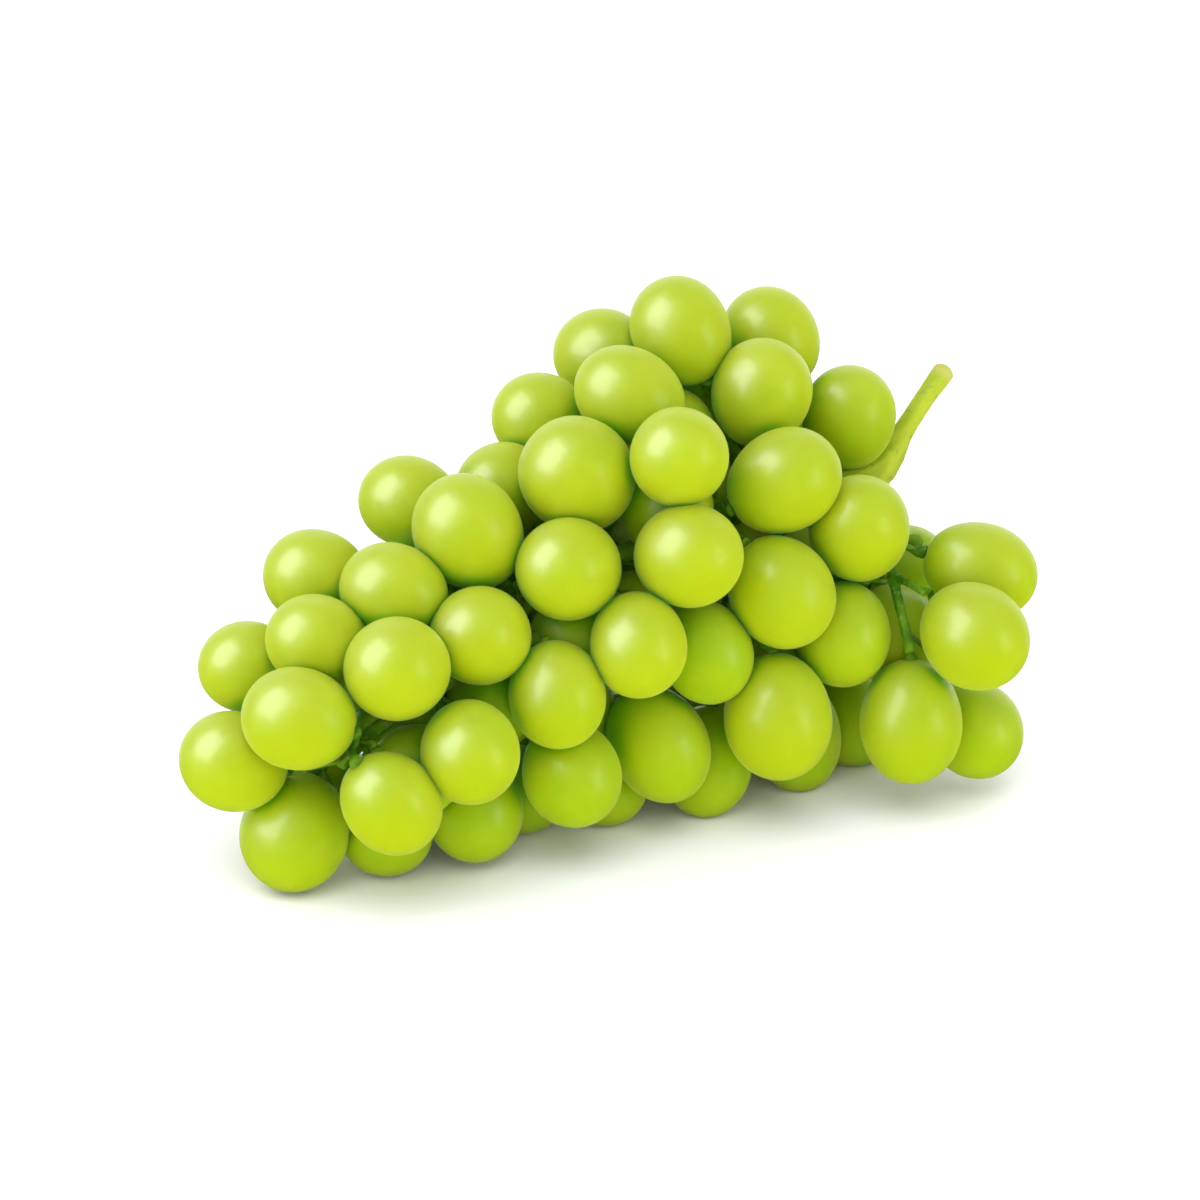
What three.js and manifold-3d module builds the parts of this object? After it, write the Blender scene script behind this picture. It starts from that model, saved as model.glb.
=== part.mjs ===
// A bunch of round green table grapes, picked with its stem and laid on its side.
// The stem is one green skeleton: a cut stalk, the main stem inside the bunch, a branch to
// each spray and a short stalk to each berry. The berries of a spray press on one another
// and form one body, so the part is the stem and one body of berries for each spray.
// Millimetres, +Z up. The bunch rests on the surface z = 0 with its tip towards -X.

import * as THREE from "three";
import { mergeVertices } from "three/addons/utils/BufferGeometryUtils.js";
import Module from "manifold-3d";

const wasm = await Module();
wasm.setup();

// Driving dimensions. The front view is a square of 1200 units a side, in which an average
// berry is 105 units across, and a berry of this sort is 20 mm across.
const BERRY_DIAMETER = 20;
const VIEW_UNITS_PER_BERRY = 105;
const VIEW_MIDDLE = 600;
const VIEW_SURFACE_ROW = 831;
const VIEW_DOWNWARD_DEG = 22;
const VIEW_DISTANCE = 1200;
const MM = BERRY_DIAMETER / VIEW_UNITS_PER_BERRY;
const BERRY_RADIUS = BERRY_DIAMETER / 2;

// How berries lie: lengthened by this share, pressed into a neighbour and into the surface
// by these depths, and kept this far from berries of other sprays and from the stem.
const BERRY_LONG_SHARE = 1.13;
const PRESS = 1.3;
const SURFACE_PRESS = 0.6;
const GAP = 0.3;
const STEM_CLEARANCE = 2.6;
const BACK_DEPTH_SHARE = 1.12;

// How the berries settle: rounds, the step towards the stem in a round, and the share of an
// overlap that a round takes away.
const SEEN_ROUNDS = 200;
const HIDDEN_ROUNDS = 40;
const LEAST_LEAN = 0.9;
const LEANING_STEP = 0.25;
const LONGEST_LEANING = 10;
const GATHERING_STEP = 0.1;
const PUSH_SHARE = 0.7;

// The places tried for berries behind are this far apart in mm, and these berries differ in
// size by this share. Rim points of a berry tell how well those in front cover it.
const TRIAL_STEP = 2.4;
const SIZE_SPREAD = 0.05;
const RESTING_FIRST = 100;
const RIM_POINTS = 12;
const RIM_POINTS_COVERED = 10;
const INSIDE_OUTLINE = 22;

// The ways of the branches between the berries: a grid of points this far apart, how open a
// way is wanted and how tight it may be (mm from a skin), and what tightness costs.
const GRID_STEP = 2;
const GRID_MARGIN = 4;
const MOST_OPEN = 4;
const WANTED_OPEN = 1.4;
const LEAST_OPEN = -1.4;
const TIGHTNESS_COST = 2.5;
const STEM_END_COST = 1.2;
const STALK_REACH = 3.6;
const SMOOTHING_ROUNDS = 4;
const LIMB_STEP = 8;

// How thick limbs are in mm, and how many sides limbs and berries have. A branch thickens
// with the number of berries that it carries, and ends in a wider receptacle at the berry.
const STALK_RADIUS = 0.68;
const THICKENING = 0.36;
const THICKEST_BRANCH = 1.7;
const RECEPTACLE_RADIUS = 1.25;
const RECEPTACLE_LENGTH = 1.1;
const MAIN_SIDES = 8;
const BRANCH_SIDES = 6;
const STALK_SIDES = 4;
const BERRY_SIDES = 8;
const BERRY_BANDS = 5;
const FACET_GROWTH = 1.07;
const SLIVER = 0.1;

// Marks of how deep a seen berry lies: on the surface, or this many berries behind the skin.
const RESTING = -1;
const DEPTH_OF_A_LAYER = 13;

// Berries that show in the front view, one a line: column and row of the middle, half the
// width, half the length, the way the long axis points (degrees, 0 right, 90 up), and depth.
const SEEN_BERRIES = [
  // the top of the shoulder
  [681, 331, 49, 57, 118, 0],
  [771, 339, 48, 54, 120, 0.7],
  [602, 354, 46, 49, 0, 0.7],
  [630, 396, 49, 58, -28, 0],
  [761, 393, 51, 56, 75, 0],
  [540, 418, 45, 48, 0, 0.8],
  [849, 418, 47, 52, 90, 0.3],
  [668, 432, 46, 48, 0, 1.6],
  // the middle of the bunch, left to right
  [578, 475, 58, 61, -45, 0],
  [679, 458, 50, 51, 90, -0.3],
  [784, 481, 52, 60, 30, 0],
  [503, 487, 46, 48, 0, 1],
  [409, 502, 46, 52, -15, 0.3],
  [468, 533, 55, 62, -50, 0],
  [859, 529, 51, 54, 90, 0],
  [569, 569, 52, 54, 0, -0.2],
  [688, 556, 53, 55, 0, -0.3],
  [664, 506, 47, 49, 0, 1.7],
  [812, 574, 47, 49, 0, 1.5],
  [781, 592, 53, 60, -55, 0],
  [843, 634, 48, 54, 90, 0.7],
  [481, 636, 50, 52, 0, 0],
  [638, 645, 49, 54, 100, 0],
  [706, 652, 47, 54, 110, 0.6],
  [557, 695, 49, 55, 100, 0],
  [632, 616, 46, 48, 0, 1.7],
  [580, 640, 48, 50, 0, 1.6],
  [760, 652, 46, 48, 0, 1.7],
  // the tip
  [316, 577, 48, 53, -10, 0.4],
  [394, 591, 48, 56, -15, 0.4],
  [318, 642, 48, 53, -15, 0.2],
  [249, 667, 46, 51, 0, 0.7],
  [398, 669, 53, 54, 0, -0.2],
  [299, 719, 52, 59, -10, -0.1],
  [234, 762, 50, 54, -20, 0.5],
  [470, 752, 50, 53, 100, 0],
  [391, 803, 48, 57, 95, -0.1],
  [295, 832, 55, 61, 75, RESTING],
  [416, 770, 46, 48, 0, 1.5],
  [376, 797, 46, 48, 0, 1.6],
  [495, 700, 48, 50, 0, 1.6],
  // the underside
  [658, 744, 50, 62, -60, 0.3],
  [571, 774, 49, 54, -70, -0.5],
  [778, 717, 54, 64, 95, 0],
  [474, 810, 49, 52, 90, -0.3],
  [706, 762, 46, 57, 90, RESTING],
  [386, 833, 44, 47, 0, RESTING],
  [523, 790, 45, 47, 0, RESTING],
  [604, 786, 41, 44, 0, RESTING],
  [798, 737, 44, 56, 90, RESTING],
  [852, 718, 47, 50, 90, RESTING],
  // the wing beside the stalk
  [980, 570, 47, 58, -18, 0.5],
  [974, 636, 52, 57, -41, 0],
  [911, 721, 51, 63, 90, -0.6],
  [975, 729, 47, 51, -60, 0.6],
  [903, 575, 49, 52, 60, 1.6],
  [893, 634, 48, 51, 90, 1.8],
];

// The bunch's outline in the front view: column, middle row, half height, and how far the
// section's middle lies behind the view's middle, in mm.
const OUTLINE = [
  [215, 716, 78, -36],
  [300, 711, 172, -31],
  [400, 668, 204, -26],
  [500, 622, 218, -14],
  [600, 570, 250, -5],
  [700, 548, 258, 3],
  [800, 545, 234, 11],
  [880, 585, 180, 11],
  [960, 652, 118, 6],
];

// The stalk and the main stem in the front view, from the cut end to the tip: column, row,
// depth behind the view's middle in mm, and radius in mm.
const MAIN_STEM = [
  [945, 370, 20, 2.3],
  [925, 398, 20, 2.0],
  [903, 432, 19, 2.1],
  [880, 470, 17, 3.4],
  [838, 487, 13, 2.7],
  [785, 496, 8, 2.4],
  [728, 508, 3, 2.3],
  [628, 552, -6, 2.1],
  [525, 606, -17, 1.9],
  [448, 682, -27, 1.7],
  [372, 732, -34, 1.5],
  [340, 766, -38, 1.3],
];

// The wing's branch, which shows beside the stalk, in the same terms.
const WING_STEM = [
  [880, 478, 17, 1.8],
  [886, 525, 9, 1.3],
  [892, 572, 2, 1.15],
  [901, 612, -1, 1.05],
  [911, 652, -3, 1.2],
];

// Its side branches to the two berries at the end of the wing.
const WING_BRANCHES = [
  [
    [888, 540, 6, 1.0],
    [912, 549, 4.5, 0.75],
  ],
  [
    [893, 576, 2, 1.0],
    [910, 584, -2.5, 0.8],
    [925, 594, -6, 0.75],
  ],
];

// The sprays, each a body of berries: its name and a place in it, as column, row and depth.
const SPRAYS = [
  ["spray_crown", 730, 335, 25],
  ["spray_crown_front", 640, 410, -5],
  ["spray_shoulder_front", 700, 500, -28],
  ["spray_shoulder_back", 760, 560, 48],
  ["spray_stalk_side", 850, 560, 10],
  ["spray_stalk_front", 820, 505, -12],
  ["spray_wing", 940, 680, 3],
  ["spray_wing_top", 978, 600, 5],
  ["spray_upper_front", 540, 500, -22],
  ["spray_upper_back", 590, 500, 22],
  ["spray_middle_front", 570, 620, -38],
  ["spray_middle_back", 600, 660, 22],
  ["spray_under_stalk", 770, 700, 0],
  ["spray_under_wing", 828, 728, 22],
  ["spray_under_middle", 590, 770, -8],
  ["spray_lower_front", 440, 770, -38],
  ["spray_lower_back", 440, 660, 0],
  ["spray_tip_top", 370, 600, -30],
  ["spray_tip", 280, 750, -42],
];

const SURFACE_UP = new THREE.Vector3(0, 0, 1);
const downward = THREE.MathUtils.degToRad(VIEW_DOWNWARD_DEG);
const VIEW_RIGHT = new THREE.Vector3(1, 0, 0);
const VIEW_UP = new THREE.Vector3(0, Math.sin(downward), Math.cos(downward));
const VIEW_AWAY = new THREE.Vector3(0, Math.cos(downward), -Math.sin(downward));
const VIEW_ORIGIN = VIEW_UP.clone().multiplyScalar((VIEW_SURFACE_ROW - VIEW_MIDDLE) * MM);

// The point seen at a column and row of the front view, this far behind its middle.
function seenAt(column, row, away) {
  const spread = MM * (1 + away / VIEW_DISTANCE);
  return VIEW_ORIGIN.clone()
    .addScaledVector(VIEW_RIGHT, (column - VIEW_MIDDLE) * spread)
    .addScaledVector(VIEW_UP, (VIEW_MIDDLE - row) * spread)
    .addScaledVector(VIEW_AWAY, away);
}

// Where a point shows in the front view, and how far behind its middle it lies.
function viewOf(point) {
  const offset = point.clone().sub(VIEW_ORIGIN);
  const away = offset.dot(VIEW_AWAY);
  const spread = MM * (1 + away / VIEW_DISTANCE);
  return {
    column: VIEW_MIDDLE + offset.dot(VIEW_RIGHT) / spread,
    row: VIEW_MIDDLE - offset.dot(VIEW_UP) / spread,
    away,
  };
}

// The bunch's round section at a column: its middle row, half height and depth, and the
// radius of the ring on which the outer berries' middles lie.
function sectionAt(column) {
  const last = OUTLINE.length - 2;
  let k = 0;
  while (k < last && column > OUTLINE[k + 1][0]) k++;
  const [c0, ...from] = OUTLINE[k];
  const [c1, ...to] = OUTLINE[k + 1];
  const share = THREE.MathUtils.clamp((column - c0) / (c1 - c0), 0, 1);
  const [row, half, away] = from.map((value, i) => THREE.MathUtils.lerp(value, to[i], share));
  return { row, half, away, radius: Math.max(half * MM - BERRY_RADIUS, 2) };
}

// The distance from a berry's middle to its skin along a unit direction.
function reach(berry, direction) {
  const along = berry.axis.dot(direction) ** 2;
  return 1 / Math.sqrt(along / berry.long ** 2 + (1 - along) / berry.half ** 2);
}

// How far a berry stands below its middle.
function standing(berry) {
  const along = berry.axis.z ** 2;
  return Math.sqrt(along * berry.long ** 2 + (1 - along) * berry.half ** 2);
}

// A berry that shows. Its true long half is a fixed share of its width, so the length that
// shows tells how far its axis turns towards the viewer. Its blossom end points outwards.
function seenBerry([column, row, halfWidth, halfLength, turn, layer]) {
  const section = sectionAt(column);
  const raised = (section.row - row) * MM;
  const front = Math.sqrt(Math.max(section.radius ** 2 - raised ** 2, 0));
  const away = section.away - front + Math.max(layer, 0) * DEPTH_OF_A_LAYER;
  const size = MM * (1 + away / VIEW_DISTANCE);
  const half = halfWidth * size;
  const long = Math.max(halfLength, halfWidth * BERRY_LONG_SHARE) * size;
  const shown = (halfLength * size) ** 2 - half ** 2;
  const flat = Math.sqrt(THREE.MathUtils.clamp(shown / (long ** 2 - half ** 2), 0, 1));
  const angle = THREE.MathUtils.degToRad(turn);
  const across = VIEW_RIGHT.clone()
    .multiplyScalar(Math.cos(angle))
    .addScaledVector(VIEW_UP, Math.sin(angle));
  const outward = (column - VIEW_MIDDLE) * Math.cos(angle) * 0.3 + (section.row - row) * Math.sin(angle);
  const axis = across
    .multiplyScalar(flat * (outward < 0 ? -1 : 1))
    .addScaledVector(VIEW_AWAY, -Math.sqrt(1 - flat ** 2));
  const shape = { column, row, halfWidth, halfLength, turn: angle };
  const berry = { ...shape, away, half, long, axis, seen: true, fixed: layer === RESTING };
  if (berry.fixed) {
    const above = (VIEW_SURFACE_ROW - row) * MM;
    const height = standing(berry) - SURFACE_PRESS;
    berry.away = (above * Math.cos(downward) - height) / Math.sin(downward);
  }
  berry.middle = seenAt(column, row, berry.away);
  return berry;
}

// Where the stems run, as points close together.
function stemLine(rows, count) {
  const points = rows.map(([column, row, away]) => seenAt(column, row, away));
  return new THREE.CatmullRomCurve3(points, false, "centripetal").getPoints(count);
}
const mainLine = stemLine(MAIN_STEM, 60);
const wingLine = stemLine(WING_STEM, 16);
const STALK_END = 12;
const stemPoints = [...mainLine.slice(STALK_END), ...wingLine];
const branchLines = WING_BRANCHES.map((rows) => stemLine(rows, 6));

function nearestOf(points, point) {
  return points.reduce((best, p) => (p.distanceToSquared(point) < best.distanceToSquared(point) ? p : best));
}

// How deep two berries are pressed into each other; less than nothing when they are apart.
function overlap(a, b) {
  const between = b.middle.clone().sub(a.middle);
  const distance = between.length();
  if (distance > 3 * BERRY_RADIUS) return -BERRY_RADIUS;
  between.divideScalar(distance);
  return reach(a, between) + reach(b, between) - distance;
}

// Moves a berry. One that shows keeps its place in the front view and only changes depth.
function shift(berry, step) {
  if (berry.fixed) return;
  if (berry.seen) {
    berry.away += step.dot(VIEW_AWAY);
    berry.middle = seenAt(berry.column, berry.row, berry.away);
  } else {
    berry.middle.add(step);
  }
}

// Moves two berries apart until they only press on each other. Those that show slide in
// depth, and one behind gives way to one that shows.
function separate(a, b) {
  const short = overlap(a, b) - PRESS;
  if (short <= 0) return;
  const between = b.middle.clone().sub(a.middle);
  if (a.seen && b.seen) {
    const distance = between.length();
    const depth = b.away - a.away;
    const lateral = Math.max(distance ** 2 - depth ** 2, 0);
    const needed = Math.sqrt(Math.max((distance + short) ** 2 - lateral, 0));
    const step = (needed - Math.abs(depth)) * (depth < 0 ? -1 : 1) * PUSH_SHARE;
    const shareA = a.fixed ? 0 : b.fixed ? 1 : 0.5;
    shift(a, VIEW_AWAY.clone().multiplyScalar(-step * shareA));
    shift(b, VIEW_AWAY.clone().multiplyScalar(step * (1 - shareA)));
    return;
  }
  between.setLength(short * PUSH_SHARE);
  const firm = (berry) => berry.seen || berry.fixed;
  const shareA = firm(a) ? 0 : firm(b) ? 1 : 0.5;
  if (shareA > 0) shift(a, between.clone().multiplyScalar(-shareA));
  if (shareA < 1) shift(b, between.clone().multiplyScalar(1 - shareA));
}

// Draws a berry towards the stem, but not on to it, and keeps it above the surface.
function gather(berry) {
  const outward = berry.middle.clone().sub(nearestOf(stemPoints, berry.middle));
  const distance = outward.length();
  outward.divideScalar(Math.max(distance, 1e-6));
  const clear = reach(berry, outward) + STEM_CLEARANCE;
  shift(berry, outward.multiplyScalar(distance < clear ? clear - distance : -GATHERING_STEP));
  const sunk = standing(berry) - SURFACE_PRESS - berry.middle.z;
  if (sunk <= 0) return;
  if (berry.seen) shift(berry, VIEW_AWAY.clone().multiplyScalar(-sunk / Math.sin(downward)));
  else berry.middle.z += sunk;
}

function settle(moving, all, rounds) {
  for (let round = 0; round < rounds; round++) {
    moving.forEach(gather);
    all.forEach((a, i) => all.slice(i + 1).forEach((b) => separate(a, b)));
  }
}

// Whether a berry that shows covers a place of the front view.
function covers(berry, column, row) {
  const across = column - berry.column;
  const up = berry.row - row;
  const along = across * Math.cos(berry.turn) + up * Math.sin(berry.turn);
  const beside = up * Math.cos(berry.turn) - across * Math.sin(berry.turn);
  return (along / berry.halfLength) ** 2 + (beside / berry.halfWidth) ** 2 < 1;
}

// Whether a berry behind would be out of sight: what shows in front covers its rim, and the
// little that peeps through a gap is well inside the outline.
function outOfSight(berry, seen) {
  const { column, row, away } = viewOf(berry.middle);
  const radius = berry.half / MM;
  let covered = 0;
  for (let k = 0; k < RIM_POINTS; k++) {
    const angle = (2 * Math.PI * k) / RIM_POINTS;
    const c = column + radius * Math.cos(angle);
    const r = row + radius * Math.sin(angle);
    if (seen.some((other) => other.away < away && covers(other, c, r))) covered++;
    else if (Math.abs(r - sectionAt(c).row) > sectionAt(c).half - INSIDE_OUTLINE) return false;
  }
  return covered >= RIM_POINTS_COVERED;
}

// Berries behind and inside. Each is put where it leans on those already there most closely,
// until there is no room for another, those that rest on the surface first. The lower half
// of the section is squarer than the upper half, as the bunch sags.
function hiddenBerries(seen) {
  const trials = [];
  const step = TRIAL_STEP / MM;
  const first = OUTLINE[0][0];
  const last = OUTLINE[OUTLINE.length - 1][0];
  for (let column = first; column < last; column += step) {
    const section = sectionAt(column);
    const reachAway = section.radius * BACK_DEPTH_SHARE;
    for (let raised = -section.radius; raised <= section.radius; raised += TRIAL_STEP) {
      const power = raised < 0 ? 4 : 2;
      const depth = reachAway * (1 - (Math.abs(raised) / section.radius) ** power) ** (1 / power);
      for (let away = -section.radius / 2; away <= depth; away += TRIAL_STEP) {
        const middle = seenAt(column, section.row - raised / MM, section.away + away);
        const nearest = nearestOf(stemPoints, middle);
        const axis = middle.clone().sub(nearest);
        const size = 1 - SIZE_SPREAD + SIZE_SPREAD * Math.sin(column + 5 * raised);
        const half = BERRY_RADIUS * size;
        const berry = { middle, half, long: half * BERRY_LONG_SHARE, seen: false, fixed: false };
        if (axis.length() < berry.long + STEM_CLEARANCE) continue;
        berry.axis = axis.normalize();
        const resting = standing(berry) - SURFACE_PRESS;
        if (middle.z < resting) continue;
        if (middle.z < resting + TRIAL_STEP && away > 0) {
          middle.z = resting;
          berry.fixed = true;
        }
        if (outOfSight(berry, seen)) trials.push(berry);
      }
    }
  }
  const placed = [];
  const fits = (trial, others) => others.every((other) => overlap(trial, other) < PRESS);
  let open = trials.filter((trial) => fits(trial, seen));
  while (open.length) {
    const all = [...seen, ...placed];
    const looseness = (trial) =>
      all.map((other) => -overlap(trial, other)).sort((a, b) => a - b).slice(0, 3).reduce((a, b) => a + b);
    const best = open.reduce((chosen, trial) => {
      trial.looseness = looseness(trial) - (trial.fixed ? RESTING_FIRST : 0);
      return chosen && chosen.looseness <= trial.looseness ? chosen : trial;
    }, null);
    placed.push(best);
    open = open.filter((trial) => fits(trial, [best]));
  }
  return placed;
}

// Lets a berry that leans on nothing slide, in depth if it shows and towards its nearest
// neighbour if not, the shortest way that makes it lean on another.
function lean(berry, others) {
  const closest = (b) => Math.max(...others.map((other) => (other === b ? -1e3 : overlap(b, other))));
  if (berry.fixed || closest(berry) >= LEAST_LEAN) return;
  const start = berry.middle.clone();
  const away = berry.away;
  const nearest = others.reduce((best, b) =>
    b !== berry && (best === berry || overlap(berry, b) > overlap(berry, best)) ? b : best, berry);
  const way = berry.seen ? VIEW_AWAY : nearest.middle.clone().sub(start).normalize();
  for (let far = LEANING_STEP; far < LONGEST_LEANING; far += LEANING_STEP) {
    for (const side of [1, -1]) {
      berry.middle = start.clone();
      berry.away = away;
      shift(berry, way.clone().multiplyScalar(side * far));
      const raised = berry.middle.z - standing(berry) + SURFACE_PRESS;
      const pressed = closest(berry);
      if (raised >= 0 && pressed >= LEAST_LEAN && pressed < PRESS + LEANING_STEP) return;
    }
  }
  berry.middle = start;
  berry.away = away;
}

const seen = SEEN_BERRIES.map(seenBerry);
settle(seen, seen, SEEN_ROUNDS);
seen.forEach((berry) => lean(berry, seen));
const hidden = hiddenBerries(seen);
settle(hidden, [...seen, ...hidden], HIDDEN_ROUNDS);
const berries = [...seen, ...hidden];
berries.forEach((berry) => lean(berry, berries));

// How well a berry leans on another to be fused with it in one spray.
const FUSING_LEAN = LEAST_LEAN - 0.1;

// Deals the berries out to the sprays. A spray starts with the berry nearest its place and
// takes in those that lean on it, so that each of its berries touches another of them.
function dealOut(berries) {
  const reached = new Map();
  const queue = [];
  for (const [name, column, row, away] of SPRAYS) {
    const place = seenAt(column, row, away);
    const free = berries.filter((berry) => !reached.has(berry));
    const start = free.reduce((best, berry) =>
      berry.middle.distanceToSquared(place) < best.middle.distanceToSquared(place) ? berry : best);
    reached.set(start, 0);
    start.spray = name;
    queue.push(start);
  }
  while (queue.length) {
    queue.sort((a, b) => reached.get(b) - reached.get(a));
    const from = queue.pop();
    for (const berry of berries) {
      if (berry === from || overlap(from, berry) < FUSING_LEAN) continue;
      const way = reached.get(from) + from.middle.distanceTo(berry.middle);
      if (reached.has(berry) && reached.get(berry) <= way) continue;
      reached.set(berry, way);
      berry.spray = from.spray;
      queue.push(berry);
    }
  }
}
dealOut(berries);

// The open ways between the berries, on a grid: how far each of its points is from the
// nearest skin, and the cheapest way to it from the stem.
const lowCorner = new THREE.Vector3(Infinity, Infinity, Infinity);
const highCorner = lowCorner.clone().negate();
for (const { middle } of berries) {
  lowCorner.min(middle);
  highCorner.max(middle);
}
lowCorner.subScalar(GRID_MARGIN);
highCorner.addScalar(GRID_MARGIN);
const cells = highCorner.clone().sub(lowCorner).divideScalar(GRID_STEP).ceil().addScalar(1);

function cellAt(point) {
  const at = point.clone().sub(lowCorner).divideScalar(GRID_STEP).round().clamp(new THREE.Vector3(), cells);
  return Math.min(at.x, cells.x - 1) + cells.x * (Math.min(at.y, cells.y - 1) + cells.y * Math.min(at.z, cells.z - 1));
}

function pointOf(cell) {
  const x = cell % cells.x;
  const y = Math.floor(cell / cells.x) % cells.y;
  const z = Math.floor(cell / (cells.x * cells.y));
  return new THREE.Vector3(x, y, z).multiplyScalar(GRID_STEP).add(lowCorner);
}

const cellCount = cells.x * cells.y * cells.z;
const openness = new Float32Array(cellCount).fill(MOST_OPEN);
for (let cell = 0; cell < cellCount; cell++) {
  const point = pointOf(cell);
  for (const berry of berries) {
    const outward = point.clone().sub(berry.middle);
    const distance = outward.length();
    if (distance > berry.long + MOST_OPEN) continue;
    const open = distance - reach(berry, outward.divideScalar(Math.max(distance, 1e-6)));
    openness[cell] = Math.min(openness[cell], open);
  }
}

// The way from the stem to each cell: its cost and the cell before it.
const wayCost = new Float64Array(cellCount).fill(Infinity);
const before = new Int32Array(cellCount).fill(-1);
const rootOf = new Map();
function spreadWays() {
  const shells = [];
  const add = (cell, cost) => {
    const shell = Math.floor(cost / GRID_STEP);
    (shells[shell] ??= []).push([cell, cost]);
  };
  for (const point of [...stemPoints, ...branchLines.flat()]) {
    const cell = cellAt(point);
    if (wayCost[cell] === 0) continue;
    wayCost[cell] = 0;
    rootOf.set(cell, point);
    add(cell, 0);
  }
  for (let shell = 0; shell < shells.length; shell++) {
    const open = shells[shell] ?? [];
    for (let n = 0; n < open.length; n++) {
      const [cell, cost] = open[n];
      if (cost > wayCost[cell]) continue;
      const x = cell % cells.x;
      const y = Math.floor(cell / cells.x) % cells.y;
      const z = Math.floor(cell / (cells.x * cells.y));
      for (let dz = -1; dz <= 1; dz++) {
        for (let dy = -1; dy <= 1; dy++) {
          for (let dx = -1; dx <= 1; dx++) {
            const [i, j, k] = [x + dx, y + dy, z + dz];
            if (i < 0 || j < 0 || k < 0 || i >= cells.x || j >= cells.y || k >= cells.z) continue;
            const next = i + cells.x * (j + cells.y * k);
            if (openness[next] < LEAST_OPEN) continue;
            const tight = Math.max(WANTED_OPEN - openness[next], 0);
            const way = cost + GRID_STEP * Math.hypot(dx, dy, dz) * (1 + TIGHTNESS_COST * tight ** 2);
            if (way >= wayCost[next]) continue;
            wayCost[next] = way;
            before[next] = cell;
            rootOf.set(next, rootOf.get(cell));
            add(next, way);
          }
        }
      }
    }
  }
}
spreadWays();

// Where a berry's own stalk meets it: the open place by its skin that is easily reached from
// the stem and near the berry's stem end.
for (const berry of berries) {
  const stemEnd = berry.middle.clone().addScaledVector(berry.axis, -berry.long);
  let least = Infinity;
  const far = berry.long + STALK_REACH;
  for (let x = -far; x <= far; x += GRID_STEP) {
    for (let y = -far; y <= far; y += GRID_STEP) {
      for (let z = -far; z <= far; z += GRID_STEP) {
        const cell = cellAt(berry.middle.clone().add(new THREE.Vector3(x, y, z)));
        const point = pointOf(cell);
        const outward = point.clone().sub(berry.middle);
        const distance = outward.length();
        const off = distance - reach(berry, outward.divideScalar(Math.max(distance, 1e-6)));
        if (off < RECEPTACLE_LENGTH || off > STALK_REACH) continue;
        const cost = wayCost[cell] + STEM_END_COST * point.distanceTo(stemEnd);
        if (cost >= least) continue;
        least = cost;
        berry.stalkCell = cell;
        berry.toStalk = outward;
      }
    }
  }
}

// How many berries hang on each cell of the ways.
const carried = new Map();
for (const berry of berries) {
  for (let cell = berry.stalkCell; cell >= 0; cell = before[cell]) {
    carried.set(cell, (carried.get(cell) ?? 0) + 1);
  }
}

// A solid limb through points, with a radius at each and this many sides.
function limb(points, radii, sides) {
  const positions = [];
  const turned = new THREE.Quaternion();
  let normal = null;
  let heading = null;
  points.forEach((point, k) => {
    const from = points[Math.max(k - 1, 0)];
    const to = points[Math.min(k + 1, points.length - 1)];
    const next = to.clone().sub(from).normalize();
    if (normal) {
      normal.applyQuaternion(turned.setFromUnitVectors(heading, next));
    } else {
      const other = Math.abs(next.z) < 0.8 ? SURFACE_UP : VIEW_RIGHT;
      normal = next.clone().cross(other).normalize();
    }
    heading = next;
    const beside = next.clone().cross(normal);
    for (let n = 0; n < sides; n++) {
      const angle = (2 * Math.PI * n) / sides;
      const ring = point.clone()
        .addScaledVector(normal, radii[k] * Math.cos(angle))
        .addScaledVector(beside, radii[k] * Math.sin(angle));
      positions.push(...ring.toArray());
    }
  });
  const faces = [];
  for (let k = 0; k + 1 < points.length; k++) {
    for (let n = 0; n < sides; n++) {
      const a = k * sides + n;
      const b = k * sides + ((n + 1) % sides);
      faces.push(a, b, b + sides, a, b + sides, a + sides);
    }
  }
  const lastRing = (points.length - 1) * sides;
  for (let n = 1; n + 1 < sides; n++) {
    faces.push(0, n + 1, n, lastRing, lastRing + n, lastRing + n + 1);
  }
  return new wasm.Manifold(
    new wasm.Mesh({
      numProp: 3,
      vertProperties: new Float32Array(positions),
      triVerts: new Uint32Array(faces),
    }),
  );
}

// The stem: the stalk and main stem, the wing's branch, and a way to each berry. A way runs
// from the berry's stalk towards the stem until it meets a way that is there already.
function stemRadii(rows, count) {
  return Array.from({ length: count + 1 }, (_, k) => {
    const at = (k / count) * (rows.length - 1);
    const i = Math.min(Math.floor(at), rows.length - 2);
    return THREE.MathUtils.lerp(rows[i][3], rows[i + 1][3], at - i);
  });
}
const limbs = [];
const mainCount = 26;
limbs.push([stemLine(MAIN_STEM, mainCount), stemRadii(MAIN_STEM, mainCount), MAIN_SIDES]);
const wingCount = 8;
limbs.push([stemLine(WING_STEM, wingCount), stemRadii(WING_STEM, wingCount), BRANCH_SIDES]);
for (const rows of WING_BRANCHES) limbs.push([stemLine(rows, 3), stemRadii(rows, 3), BRANCH_SIDES]);

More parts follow.
